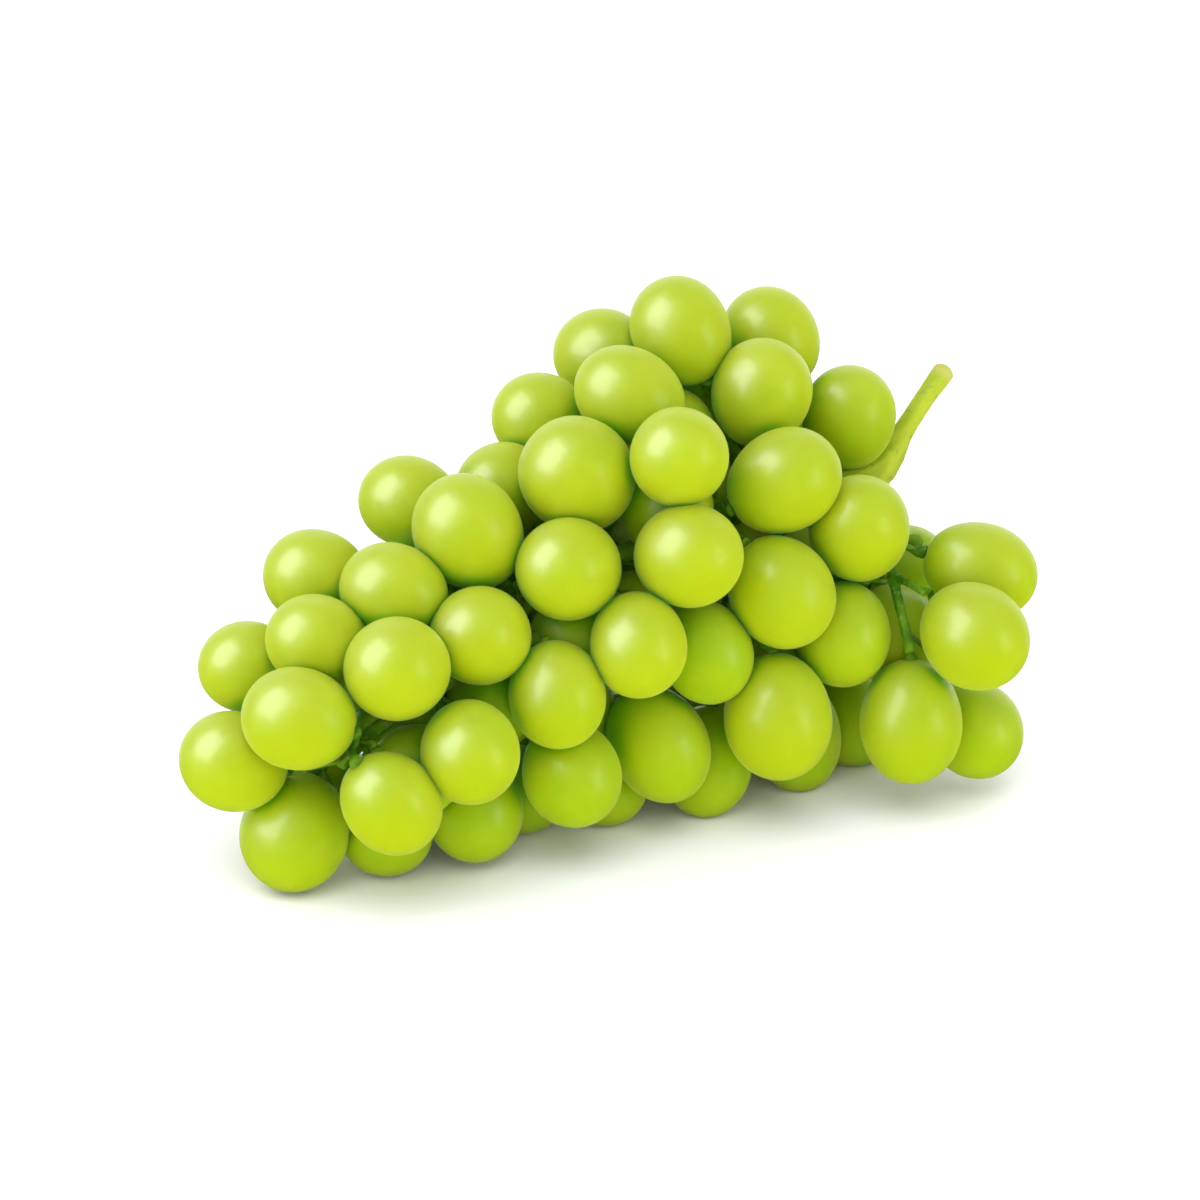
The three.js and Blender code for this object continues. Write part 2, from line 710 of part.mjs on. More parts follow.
const smoothed = new Map();
for (const berry of [...berries].sort((a, b) => wayCost[b.stalkCell] - wayCost[a.stalkCell])) {
  const way = [];
  let cell = berry.stalkCell;
  while (cell >= 0 && !smoothed.has(cell)) {
    way.push(cell);
    cell = before[cell];
  }
  const points = way.map(pointOf);
  const root = cell >= 0 ? smoothed.get(cell) : rootOf.get(way[way.length - 1]);
  const skin = reach(berry, berry.toStalk) * FACET_GROWTH + GAP;
  const end = berry.middle.clone().addScaledVector(berry.toStalk, skin);
  const neck = berry.middle.clone().addScaledVector(berry.toStalk, skin + RECEPTACLE_LENGTH);
  for (let round = 0; round < SMOOTHING_ROUNDS; round++) {
    const old = points.map((point) => point.clone());
    points.forEach((point, k) => {
      const a = k > 0 ? old[k - 1] : neck;
      const b = k + 1 < old.length ? old[k + 1] : root;
      point.lerp(a.clone().add(b).divideScalar(2), 0.5);
    });
  }
  way.forEach((passed, k) => smoothed.set(passed, points[k]));
  const line = new THREE.CatmullRomCurve3([neck, ...points, root]);
  const count = Math.max(Math.round(line.getLength() / LIMB_STEP), 1);
  const radiusAt = (share) => {
    const passed = way[Math.min(Math.floor(share * way.length), way.length - 1)];
    const load = way.length ? carried.get(passed) : 1;
    return Math.min(STALK_RADIUS * load ** THICKENING, THICKEST_BRANCH);
  };
  const radii = Array.from({ length: count + 1 }, (_, k) => radiusAt(k / count));
  limbs.push([
    [end, neck, ...line.getSpacedPoints(count).slice(1)],
    [RECEPTACLE_RADIUS, ...radii],
    STALK_SIDES,
  ]);
}

function joined(solids) {
  let left = solids;
  while (left.length > 1) {
    left = left.flatMap((solid, i) => (i % 2 ? [] : left[i + 1] ? [solid.add(left[i + 1])] : [solid]));
  }
  return left[0];
}
const stem = joined(limbs.map(([points, radii, sides]) => limb(points, radii, sides))).simplify(SLIVER);
const stemRoom = joined(
  limbs.map(([[end, ...points], radii, sides]) => {
    const further = end.clone().add(end.clone().sub(points[0]).setLength(GAP));
    const wider = radii.map((radius) => radius + GAP / Math.cos(Math.PI / sides));
    return limb([further, ...points], wider, sides);
  }),
);

// A berry: a sphere with its poles on the long axis, drawn out along it.
const sphere = new THREE.SphereGeometry(1, BERRY_SIDES, BERRY_BANDS);
sphere.deleteAttribute("normal");
sphere.deleteAttribute("uv");
function berrySolid(berry) {
  const turned = new THREE.Quaternion().setFromUnitVectors(new THREE.Vector3(0, 1, 0), berry.axis);
  const size = new THREE.Vector3(berry.half, berry.long, berry.half).multiplyScalar(FACET_GROWTH);
  const round = mergeVertices(
    sphere.clone().applyMatrix4(new THREE.Matrix4().compose(berry.middle, turned, size)), 1e-3);
  return new wasm.Manifold(
    new wasm.Mesh({
      numProp: 3,
      vertProperties: round.attributes.position.array,
      triVerts: new Uint32Array(round.index.array),
    }),
  );
}

// The berries of a spray in one body. A berry is cut flat where it leans on one of another
// spray or on the surface, and makes room for the stem.
function spraySolid(own) {
  const solids = own.map((berry) => {
    let solid = berrySolid(berry).trimByPlane(SURFACE_UP.toArray(), 0);
    for (const other of berries) {
      const pressed = overlap(berry, other);
      if (other.spray === berry.spray || pressed < -BERRY_RADIUS / 5) continue;
      const inward = berry.middle.clone().sub(other.middle).normalize();
      const far = reach(berry, inward) - (pressed + GAP) / 2;
      solid = solid.trimByPlane(inward.toArray(), berry.middle.dot(inward) - far);
    }
    return solid;
  });
  const bodies = joined(solids).subtract(stemRoom).simplify(SLIVER).decompose();
  return bodies.reduce((largest, body) => (body.volume() > largest.volume() ? body : largest));
}

function meshOf(name, solid, material) {
  const { vertProperties, triVerts } = solid.getMesh();
  const geometry = new THREE.BufferGeometry();
  geometry.setAttribute("position", new THREE.BufferAttribute(new Float32Array(vertProperties), 3));
  geometry.setIndex(new THREE.BufferAttribute(new Uint32Array(triVerts), 1));
  const mesh = new THREE.Mesh(geometry, material);
  mesh.name = name;
  return mesh;
}

const skinGreen = new THREE.MeshStandardMaterial({ color: 0xb4cd1e, roughness: 0.35, metalness: 0, flatShading: true });
const stemGreen = new THREE.MeshStandardMaterial({ color: 0x6f9a1c, roughness: 0.6, metalness: 0, flatShading: true });

const bunch = new THREE.Group();
bunch.add(meshOf("stem", stem, stemGreen));
for (const [name] of SPRAYS) {
  bunch.add(meshOf(name, spraySolid(berries.filter((berry) => berry.spray === name)), skinGreen));
}

// The origin is under the middle of the bunch, on the surface.
const box = new THREE.Box3().setFromObject(bunch);
const middle = box.getCenter(new THREE.Vector3());
bunch.position.set(-middle.x, -middle.y, -box.min.z);

const part = new THREE.Group();
part.add(bunch);
export default part;
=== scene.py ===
"""A bunch of green grapes, lying on a pale table."""

import bpy
import numpy as np
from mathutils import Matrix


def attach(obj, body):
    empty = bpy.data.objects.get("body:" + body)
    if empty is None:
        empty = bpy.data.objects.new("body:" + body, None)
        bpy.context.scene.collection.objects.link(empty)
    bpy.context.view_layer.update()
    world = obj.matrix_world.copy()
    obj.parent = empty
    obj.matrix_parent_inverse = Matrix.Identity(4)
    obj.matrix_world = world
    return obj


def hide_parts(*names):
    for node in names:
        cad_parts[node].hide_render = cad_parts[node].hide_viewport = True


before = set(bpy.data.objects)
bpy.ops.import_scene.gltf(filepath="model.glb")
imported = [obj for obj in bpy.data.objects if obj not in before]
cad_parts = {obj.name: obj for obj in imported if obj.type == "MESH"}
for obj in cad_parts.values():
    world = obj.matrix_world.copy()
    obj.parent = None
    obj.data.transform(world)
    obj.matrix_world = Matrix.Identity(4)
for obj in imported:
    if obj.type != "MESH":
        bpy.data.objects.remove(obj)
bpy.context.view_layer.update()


# The camera stands before the bunch and looks 22 degrees down on it, through a long lens, with the whole
# bunch in a square picture.

CAMERA_PLACE = (-0.00294, -1.1079, 0.4903)
LOOKS_DOWN = 22
SENSOR_WIDTH, LENS_LENGTH = 36, 189

camera = bpy.data.objects.new("camera", bpy.data.cameras.new("camera"))
camera.data.sensor_width = SENSOR_WIDTH
camera.data.lens = LENS_LENGTH
camera.location = CAMERA_PLACE
camera.rotation_euler = (np.radians(90 - LOOKS_DOWN), 0, 0)
bpy.context.scene.collection.objects.link(camera)
bpy.context.scene.camera = camera
bpy.context.scene.view_settings.view_transform = "Standard"


# The table is one flat white sheet in a white room that is lighter behind the bunch than in front. A large
# soft light hangs at the upper left, a fainter one stands at the right, and a wide one by the camera. Gloss
# mirrors the first most of all, little of the room in front, and a white wall behind the bunch.

TABLE_WHITE = (0.92, 0.92, 0.96, 1)
ROOM_FRONT, ROOM_BEHIND = 0.3, 1.4
MIRRORED_FRONT, MIRRORED_BEHIND = 0.06, 0.9
LIGHT_AIM = np.array([-0.003, 0.005, 0.045])
UPPER_LEFT, LOW_RIGHT, BY_CAMERA = (-0.70, -0.33, 0.63), (0.87, -0.46, 0.19), (0.0, -0.90, 0.44)
TABLE_LIGHT_STRENGTH, TABLE_LIGHT_SPREAD, TABLE_LIGHT_LEAN = 1.4, 50, 32

table_mesh = bpy.data.meshes.new("table")
table_mesh.from_pydata([(-4, -3, 0), (4, -3, 0), (4, 9, 0), (-4, 9, 0)], [], [(0, 1, 2, 3)])
table = bpy.data.objects.new("table", table_mesh)
bpy.context.scene.collection.objects.link(table)
table.visible_glossy = False
table_paint = bpy.data.materials.new("table_white")
table_paint.use_nodes = True
table_shader = table_paint.node_tree.nodes["Principled BSDF"]
table_shader.inputs["Base Color"].default_value = TABLE_WHITE
table_shader.inputs["Roughness"].default_value = 0.9
table_shader.inputs["Specular IOR Level"].default_value = 0.1
table_mesh.materials.append(table_paint)

room = bpy.data.worlds.new("white_room")
room.use_nodes = True
room.node_tree.nodes["Background"].inputs["Color"].default_value = (1, 1, 1, 1)
room_light = room.node_tree.nodes["Background"]
towards = room.node_tree.nodes.new("ShaderNodeSeparateXYZ")
room_way = room.node_tree.nodes.new("ShaderNodeTexCoord").outputs["Generated"]
room.node_tree.links.new(room_way, towards.inputs[0])


def between(value, *numbers):
    """A number taken from one range to another, for the room. Each of its ends may be a socket."""
    step = room.node_tree.nodes.new("ShaderNodeMapRange")
    room.node_tree.links.new(value, step.inputs["Value"])
    for name, number in zip(("From Min", "From Max", "To Min", "To Max"), numbers):
        if isinstance(number, bpy.types.NodeSocket):
            room.node_tree.links.new(number, step.inputs[name])
        else:
            step.inputs[name].default_value = number
    return step.outputs["Result"]


above = between(towards.outputs["Z"], -0.45, -0.30, MIRRORED_FRONT, MIRRORED_BEHIND)
mirrored = between(towards.outputs["Y"], 0.5, 0.85, MIRRORED_FRONT, above)
plain = between(towards.outputs["Y"], -1, 1, ROOM_FRONT, ROOM_BEHIND)
glossy = room.node_tree.nodes.new("ShaderNodeLightPath").outputs["Is Glossy Ray"]
room.node_tree.links.new(between(glossy, 0, 1, plain, mirrored), room_light.inputs["Strength"])
bpy.context.scene.world = room


def soft_light(name, towards, distance, width, height, watts):
    """A rectangular light at a distance from the bunch, on the line that goes from it towards the light."""
    light = bpy.data.objects.new(name, bpy.data.lights.new(name, "AREA"))
    light.data.shape = "RECTANGLE"
    light.data.size, light.data.size_y = width, height
    light.data.energy = watts
    line = np.array(towards) / np.linalg.norm(towards)
    light.location = LIGHT_AIM + distance * line
    turn = np.arctan2(line[0], -line[1])
    light.rotation_euler = (np.arccos(line[2]), 0, turn)
    bpy.context.scene.collection.objects.link(light)
    return light


soft_light("key_light", UPPER_LEFT, 0.8, 0.74, 0.94, 1.3)
gloss_light = soft_light("gloss_light", UPPER_LEFT, 0.81, 0.72, 0.92, 9.0)
gloss_light.visible_diffuse = False
soft_light("side_light", LOW_RIGHT, 0.8, 0.26, 0.45, 0.55)
front_light = soft_light("front_light", BY_CAMERA, 1.3, 1.6, 1.6, 10.5)
front_light.visible_glossy = False

table_light = bpy.data.objects.new("table_light", bpy.data.lights.new("table_light", "SUN"))
table_light.data.energy = TABLE_LIGHT_STRENGTH
table_light.data.angle = np.radians(TABLE_LIGHT_SPREAD)
table_light.rotation_euler = (np.radians(TABLE_LIGHT_LEAN), 0, 0)
bpy.context.scene.collection.objects.link(table_light)
table_alone = bpy.data.collections.new("table_alone")
table_alone.objects.link(table)
table_light.light_linking.receiver_collection = table_alone


# The berries are about 20 mm wide and a little longer than wide. Each is a thin waxy skin round clear
# flesh, with a dimple where its stalk goes in and a small brown scar at the other end, and is pressed flat
# against its neighbours and the table. Sizes are in millimetres.

SPRAYS = sorted(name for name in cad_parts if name.startswith("spray"))
FACET_GROWTH = 1.07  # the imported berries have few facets, whose corners stand this much proud
USUAL_HALF_WIDTH = 10.0 * FACET_GROWTH
USUAL_SLENDERNESS = 1.13
GUESSED_DEPTH = 0.92  # of the usual half width, from a facet's middle to its berry's
GATHERING_ROUNDS, GATHERING_REACH = 25, 4.0
SAME_BERRY = 5.0
LEAST_SKIN = 30.0  # a smaller area of facets is a stray guess and no berry
FIRST_AXIS_COUNT = 24
GOLDEN_TURN = 2.4
FITTING_ROUNDS = ((1.5, 3, 24), (1.0, 3, 24), (0.7, 3, 8), (0.4, 3, 6), (0.25, 4, 4), (0.12, 6, 4))


def corners_of(name):
    """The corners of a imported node's faces, in millimetres: faces x 3 corners x 3 axes."""
    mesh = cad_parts[name].data
    points = np.empty(len(mesh.vertices) * 3)
    mesh.vertices.foreach_get("co", points)
    order = np.empty(len(mesh.loops), int)
    mesh.loops.foreach_get("vertex_index", order)
    return 1000 * points.reshape(-1, 3)[order].reshape(-1, 3, 3)


def berry_middles(corners):
    """Each face points away from the middle of its own berry, so from the face's middle one half width
    inwards lies near the berry's middle. These guesses are drawn together to their mean within reach until
    they stand still. Gives the places where they gather, and the place that each face belongs to."""
    across = np.cross(corners[:, 1] - corners[:, 0], corners[:, 2] - corners[:, 0])
    area = np.linalg.norm(across, axis=1)
    guesses = corners.mean(1) - GUESSED_DEPTH * USUAL_HALF_WIDTH * across / area[:, None]
    gathered = guesses.copy()
    for _ in range(GATHERING_ROUNDS):
        near = np.linalg.norm(gathered[:, None] - guesses[None], axis=2) < GATHERING_REACH
        weight = near * area
        gathered = (weight @ guesses) / weight.sum(1)[:, None]
    support = (np.linalg.norm(gathered[:, None] - guesses[None], axis=2) < GATHERING_REACH) @ area
    middles = []
    for face in np.argsort(-support):
        if all(np.linalg.norm(gathered[face] - m) > SAME_BERRY for m in middles):
            middles.append(gathered[face])
    middles = np.array(middles)
    owner = np.linalg.norm(gathered[:, None] - middles[None], axis=2).argmin(1)
    return middles, owner, area


def misfits(points, spheroids):
    """How far each point lies outside each spheroid: its distance from the middle in units of the skin's,
    less one, times the half width. A spheroid is its middle, its long axis, its half width and how many
    times longer than wide it is. Gives spheroids x points."""
    axes = spheroids[:, 3:6] / np.linalg.norm(spheroids[:, 3:6], axis=1)[:, None]
    off = points[None] - spheroids[:, None, :3]
    along = (off * axes[:, None]).sum(2)
    across = np.maximum((off * off).sum(2) - along**2, 0)
    half = spheroids[:, 6:7]
    return np.sqrt(across + (along / spheroids[:, 7:8]) ** 2) - half


def fitted(points, starts):
    """The spheroid that has the most of the points on its skin, by damped least squares from several
    starts at once. A corner that a cut made lies inside the skin, so a point inside counts within a band
    that narrows from round to round, and a point outside within one twice as wide. Each entry of the
    rounds is the band, how often the fit steps, and how many of the best starts go on."""
    spheroids = starts.copy()
    steps = 1e-4 * np.eye(8)
    usual = np.array([0, 0, 0, 0, 0, 0, USUAL_HALF_WIDTH, USUAL_SLENDERNESS])
    firmness = np.array([0, 0, 0, 0, 0, 0, 0.02, 1.0])
    for band, rounds, kept in FITTING_ROUNDS:
        for _ in range(rounds):
            now = misfits(points, spheroids)
            weight = np.exp(-((now / np.where(now > 0, 2 * band, band)) ** 2))
            slopes = np.stack([(misfits(points, spheroids + step) - now) / 1e-4 for step in steps], 2)
            pulled = slopes * weight[:, :, None] ** 2
            square = np.einsum("spi,spj->sij", pulled, slopes) + np.diag(firmness**2) + 1e-6 * np.eye(8)
            push = np.einsum("spi,sp->si", pulled, now) + firmness**2 * (spheroids - usual)
            spheroids = spheroids - np.linalg.solve(square, push[:, :, None])[:, :, 0]
            spheroids[:, 3:6] /= np.linalg.norm(spheroids[:, 3:6], axis=1)[:, None]
            spheroids[:, 7] = np.clip(spheroids[:, 7], 1.0, 1.5)
        close = (np.abs(misfits(points, spheroids)) < band / 4).sum(1)
        spheroids = spheroids[np.argsort(-close, kind="stable")[:kept]]
    on_skin = (np.abs(misfits(points, spheroids)) < 0.02).sum(1)
    return spheroids[on_skin.argmax()]


def spread_directions(rise):
    """Unit directions with the given rises. Each is turned on from the one before it by the golden angle,
    so rises at even steps spread them evenly over a ball."""
    turn = np.arange(len(rise)) * GOLDEN_TURN
    lean = np.sqrt(1 - rise**2)
    return np.stack([lean * np.cos(turn), lean * np.sin(turn), rise], 1)


FIRST_AXES = spread_directions((np.arange(FIRST_AXIS_COUNT) + 0.5) / FIRST_AXIS_COUNT)
spray_of, berries = [], []
for spray in SPRAYS:
    spray_corners = corners_of(spray)
    middles, owner, area = berry_middles(spray_corners)
    for number, middle in enumerate(middles):
        if area[owner == number].sum() < LEAST_SKIN:
            continue
        corners = np.unique(spray_corners[owner == number].reshape(-1, 3).round(3), axis=0)
        starts = np.empty((len(FIRST_AXES), 8))
        starts[:, :3], starts[:, 3:6] = middle, FIRST_AXES
        starts[:, 6:] = USUAL_HALF_WIDTH, USUAL_SLENDERNESS
        berries.append(fitted(corners, starts))
        spray_of.append(spray)
berries = np.array(berries)
spray_of = np.array(spray_of)
MIDDLES = berries[:, :3]
HALF_WIDTHS = berries[:, 6] / FACET_GROWTH
HALF_LENGTHS = HALF_WIDTHS * berries[:, 7]

stem_corners = corners_of("stem").reshape(-1, 3)
half_axes = berries[:, 3:6] * berries[:, 6:8].prod(1)[:, None]
poles = np.stack([MIDDLES + half_axes, MIDDLES - half_axes], 1)
pole_to_stem = np.linalg.norm(poles[:, :, None] - stem_corners, axis=3).min(2)
STALK_AXES = berries[:, 3:6] * np.where(pole_to_stem[:, :1] < pole_to_stem[:, 1:], 1, -1)

BERRY_ROWS = 38
BERRY_COLUMNS = 56
CONTACT_SHARE = 0.53
FOOT_SOFTNESS = 0.10
DIMPLE_DEPTH, DIMPLE_WIDTH = 0.35, 1.1
SCAR_DEPTH, SCAR_WIDTH = 0.06, 0.6
EGG_SHARE = -0.03
LUMP_HEIGHT, LUMP_WAVES = 0.08, 1.6
TOUCHING_REACH, SHADING_REACH = 26, 34  # between the middles of two berries
draw = np.random.default_rng(7)


def skin_reach(berry, directions):
    """How far a berry's spheroid reaches from its middle in each unit direction."""
    along = directions @ STALK_AXES[berry]
    return 1 / np.sqrt((1 - along**2) / HALF_WIDTHS[berry] ** 2 + (along / HALF_LENGTHS[berry]) ** 2)


def clearance(berry, points):
    """How far each point is from the nearest neighbour of a berry, less than nothing inside it."""
    near = np.linalg.norm(MIDDLES - MIDDLES[berry], axis=1) < TOUCHING_REACH
    near[berry] = False
    neighbours = np.column_stack([MIDDLES, STALK_AXES, HALF_WIDTHS, HALF_LENGTHS / HALF_WIDTHS])[near]
    return misfits(points, neighbours).min(0)


def hemmed_in(berry, points, directions):
    """How much of the view outwards from each point the berries round this one take: for each of them the
    cosine between the outward direction and its middle, times the square of its size over its distance, all
    added up. One berry that touches the point takes 1, and a second one behind it adds to that."""
    others = np.linalg.norm(MIDDLES - MIDDLES[berry], axis=1) < SHADING_REACH
    others[berry] = False
    off = MIDDLES[others][:, None] - points[None]
    far = np.linalg.norm(off, axis=2)
    facing = np.maximum((off * directions[None]).sum(2) / far, 0)
    return (facing * (HALF_WIDTHS[others][:, None] / far) ** 2).sum(0)


def berry_skin(berry):
    """One berry's skin on a grid, from the stalk's pole down the columns to the scar's pole. Its radius in
    each direction is the spheroid's, times an egg's swelling towards the scar, plus a few long low lumps,
    less a rounded dimple at the stalk and a small pit at the scar. Where it lies in a neighbour it gives
    way by about half the depth, as the neighbour does too, and at the table it takes the softened least of
    its radius and the distance to the table. Gives the points, each point's place in the berry's own axes,
    its height there from -1 at the stalk to 1 at the scar, and how hemmed in it is."""
    up = STALK_AXES[berry]
    side = np.cross(up, [0.31, 0.77, 0.55])
    side /= np.linalg.norm(side)
    ahead = np.cross(up, side)
    down = np.linspace(0, np.pi, BERRY_ROWS)
    around = np.arange(BERRY_COLUMNS) * 2 * np.pi / BERRY_COLUMNS
    polar, turn = [g.ravel() for g in np.meshgrid(down[1:-1], around, indexing="ij")]
    polar, turn = np.concatenate([[0], polar, [np.pi]]), np.concatenate([[0], turn, [0]])
    own = np.stack([np.sin(polar) * np.cos(turn), np.sin(polar) * np.sin(turn), np.cos(polar)], 1)
    directions = own @ np.stack([side, ahead, up])
    reach = skin_reach(berry, directions)
    reach *= 1 + EGG_SHARE * np.cos(polar) * np.sin(polar) ** 2
    for waves, start in zip(draw.normal(0, LUMP_WAVES, (4, 3)), draw.uniform(0, 6.3, 4)):
        reach += LUMP_HEIGHT / 2 * np.sin(own @ waves + start)
    from_stalk, from_scar = polar * HALF_WIDTHS[berry], (np.pi - polar) * HALF_WIDTHS[berry]
    reach -= DIMPLE_DEPTH * np.exp(-((from_stalk / DIMPLE_WIDTH) ** 2))
    reach -= SCAR_DEPTH * np.exp(-((from_scar / SCAR_WIDTH) ** 2))
    reach += CONTACT_SHARE * np.minimum(clearance(berry, MIDDLES[berry] + reach[:, None] * directions), 0)
    fall = np.maximum(-directions[:, 2], 0.05)
    to_table = MIDDLES[berry, 2] / fall
    least = np.minimum(reach, to_table)
    reach = least - FOOT_SOFTNESS * np.log1p(np.exp(-np.abs(reach - to_table) / FOOT_SOFTNESS))
    points = MIDDLES[berry] + reach[:, None] * directions
    return points, reach[:, None] * own, -np.cos(polar), hemmed_in(berry, points, directions)


def grid_faces(first):
    """The faces of a closed grid with a point at each pole: quads between the rings, and a fan of triangles
    at each pole. Points are numbered from first."""
    rings = BERRY_ROWS - 2
    ring, column = np.divmod(np.arange((rings - 1) * BERRY_COLUMNS), BERRY_COLUMNS)
    beside = (column + 1) % BERRY_COLUMNS
    start = first + 1 + ring * BERRY_COLUMNS
    below = start + BERRY_COLUMNS
    quads = np.stack([start + column, below + column, below + beside, start + beside], 1)
    column = np.arange(BERRY_COLUMNS)
    beside = (column + 1) % BERRY_COLUMNS
    last = first + 1 + (rings - 1) * BERRY_COLUMNS
    top = np.stack([np.full(BERRY_COLUMNS, first), first + 1 + column, first + 1 + beside], 1)
    foot = np.stack([np.full(BERRY_COLUMNS, last + BERRY_COLUMNS), last + beside, last + column], 1)
    return quads.tolist() + top.tolist() + foot.tolist()


def fill_attribute(mesh, name, kind, values):
    """A value for each of a mesh's points."""
    field = "vector" if kind == "FLOAT_VECTOR" else "value"
    mesh.attributes.new(name, kind, "POINT").data.foreach_set(field, np.asarray(values, np.float32).ravel())


# The side that the light comes from. Berries that others stand before on that side get painted shade: a
# greener, darker skin.
LIGHT_SIDE = np.array([-0.30, -0.62, 0.72])
LIGHT_WAY_COUNT, LIGHT_WAY_SPREAD = 40, 0.4
RIPENESS_SPREAD = 0.08
light_side_across = np.cross(LIGHT_SIDE, [0, 0, 1])
light_side_across /= np.linalg.norm(light_side_across)
light_axes = np.stack([light_side_across, np.cross(LIGHT_SIDE, light_side_across), LIGHT_SIDE])
light_rises = 1 - LIGHT_WAY_SPREAD * (np.arange(LIGHT_WAY_COUNT) + 0.5) / LIGHT_WAY_COUNT
LIGHT_WAYS = spread_directions(light_rises) @ light_axes


def shaded(berry):
    """The share of the ways from a berry towards the light's side that other berries stand in, which sets
    how much painted shade it gets.
    """
    off = MIDDLES - MIDDLES[berry]
    along = off @ LIGHT_WAYS.T
    beside = np.sqrt(np.maximum((off**2).sum(1)[:, None] - along**2, 0))
    return ((along > 1) & (beside < HALF_WIDTHS[:, None])).any(0).mean()


# Painted shade and tone: each berry's value falls with how shaded it is from the light's side, plus a
# random spread of tone.
TONE_AND_PAINTED_SHADE = np.array([1.2 - 0.9 * shaded(berry) for berry in range(len(berries))])
TONE_AND_PAINTED_SHADE = np.clip(TONE_AND_PAINTED_SHADE + draw.normal(0, RIPENESS_SPREAD, len(berries)), 0, 1)
berry_material = bpy.data.materials.new("grape_skin")
for spray in SPRAYS:
    points, faces, places, heights, tones_and_shades, shades = [], [], [], [], [], []
    for berry in np.flatnonzero(spray_of == spray):
        faces += grid_faces(sum(len(p) for p in points))
        skin, own, height, shade = berry_skin(berry)
        points.append(skin / 1000)
        places.append(own + 40.0 * berry)
        heights.append(height)
        shades.append(shade)
        tones_and_shades.append(np.full(len(skin), TONE_AND_PAINTED_SHADE[berry]))
    mesh = bpy.data.meshes.new(spray + "_berries")
    mesh.from_pydata(np.concatenate(points).tolist(), [], faces)
    mesh.shade_smooth()
    fill_attribute(mesh, "berry_place", "FLOAT_VECTOR", np.concatenate(places))
    fill_attribute(mesh, "berry_height", "FLOAT", np.concatenate(heights))
    fill_attribute(mesh, "berry_tone_and_shade", "FLOAT", np.concatenate(tones_and_shades))
    fill_attribute(mesh, "berry_shade", "FLOAT", np.concatenate(shades))
    mesh.materials.append(berry_material)
    piece = bpy.data.objects.new(spray + "_berries", mesh)
    bpy.context.scene.collection.objects.link(piece)
    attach(piece, "root")
    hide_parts(spray)


# The skin is a clear yellow-green over pale flesh that glows where light passes through it. Each berry has
# a random tone of its own. A berry that stands in the shade of others towards the light's side is painted
# greener and darker, as painted shade. Skin towards the stalk end, which faces the inside of the bunch, is
# a darker green: partly its own tone, partly painted shade. Skin hemmed in by other berries, in the gaps
# and where they touch, is painted darker green as painted shade. It has fine pale veins from end to end, a
# thin pale bloom that is rubbed off in places, and tiny brown specks.

SKIN_RIPE = (0.50, 0.585, 0.004, 1)
SKIN_GREEN_AND_SHADED = (0.32, 0.52, 0.002, 1)
# The darker green of painted shade in the gaps, also used at the stalk ends.
SKIN_INNER_SHADE = (0.17, 0.49, 0.001, 1)
SKIN_VEIN = (0.58, 0.65, 0.025, 1)
SKIN_BLOOM = (0.56, 0.64, 0.04, 1)
SPECK_OLIVE = (0.28, 0.34, 0.01, 1)


def add(tree, kind, **settings):
    """A node in a tree, with its settings."""
    made = tree.nodes.new(kind)
    for name, value in settings.items():
        setattr(made, name, value)
    return made


def blend(tree, share, low, high):
    """A colour between two, by a share. Each may be a socket or a plain value."""
    mix = add(tree, "ShaderNodeMix", data_type="RGBA")
    for name, value in (("Factor_Float", share), ("A_Color", low), ("B_Color", high)):
        socket = next(i for i in mix.inputs if i.identifier == name)
        if isinstance(value, bpy.types.NodeSocket):
            tree.links.new(value, socket)
        else:
            socket.default_value = value
    return next(o for o in mix.outputs if o.identifier == "Result_Color")


def ranged(tree, value, low, high, to_low=0.0, to_high=1.0):
    """A value taken smoothly from one range to another, and held at its ends."""
    step = add(tree, "ShaderNodeMapRange", interpolation_type="SMOOTHSTEP")
    tree.links.new(value, step.inputs["Value"])
    for name, number in zip(("From Min", "From Max", "To Min", "To Max"), (low, high, to_low, to_high)):
        step.inputs[name].default_value = number
    return step.outputs["Result"]


berry_material.use_nodes = True
tree = berry_material.node_tree
shader = tree.nodes["Principled BSDF"]
place = add(tree, "ShaderNodeAttribute", attribute_name="berry_place").outputs["Vector"]
height = add(tree, "ShaderNodeAttribute", attribute_name="berry_height").outputs["Fac"]
shade_and_tone = add(tree, "ShaderNodeAttribute", attribute_name="berry_tone_and_shade").outputs["Fac"]
shade = add(tree, "ShaderNodeAttribute", attribute_name="berry_shade").outputs["Fac"]


def noise(tree, place, scale, detail=2.0, stretch=(1, 1, 1)):
    """Soft noise over a place, in waves for each unit of it, stretched along its axes."""
    stretched = add(tree, "ShaderNodeMapping")
    stretched.inputs["Scale"].default_value = stretch
    tree.links.new(place, stretched.inputs["Vector"])
    made = add(tree, "ShaderNodeTexNoise")
    tree.links.new(stretched.outputs["Vector"], made.inputs["Vector"])
    made.inputs["Scale"].default_value = scale
    made.inputs["Detail"].default_value = detail
    return made.outputs["Fac"]


patchy = add(tree, "ShaderNodeMath", operation="ADD")
tree.links.new(shade_and_tone, patchy.inputs[0])
tree.links.new(ranged(tree, noise(tree, place, 0.07), 0.3, 0.7, -0.1, 0.1), patchy.inputs[1])
# Each berry lies between the green and the ripe colour by its value: partly a random tone, partly painted
# shade.
colour = blend(tree, patchy.outputs["Value"], SKIN_GREEN_AND_SHADED, SKIN_RIPE)
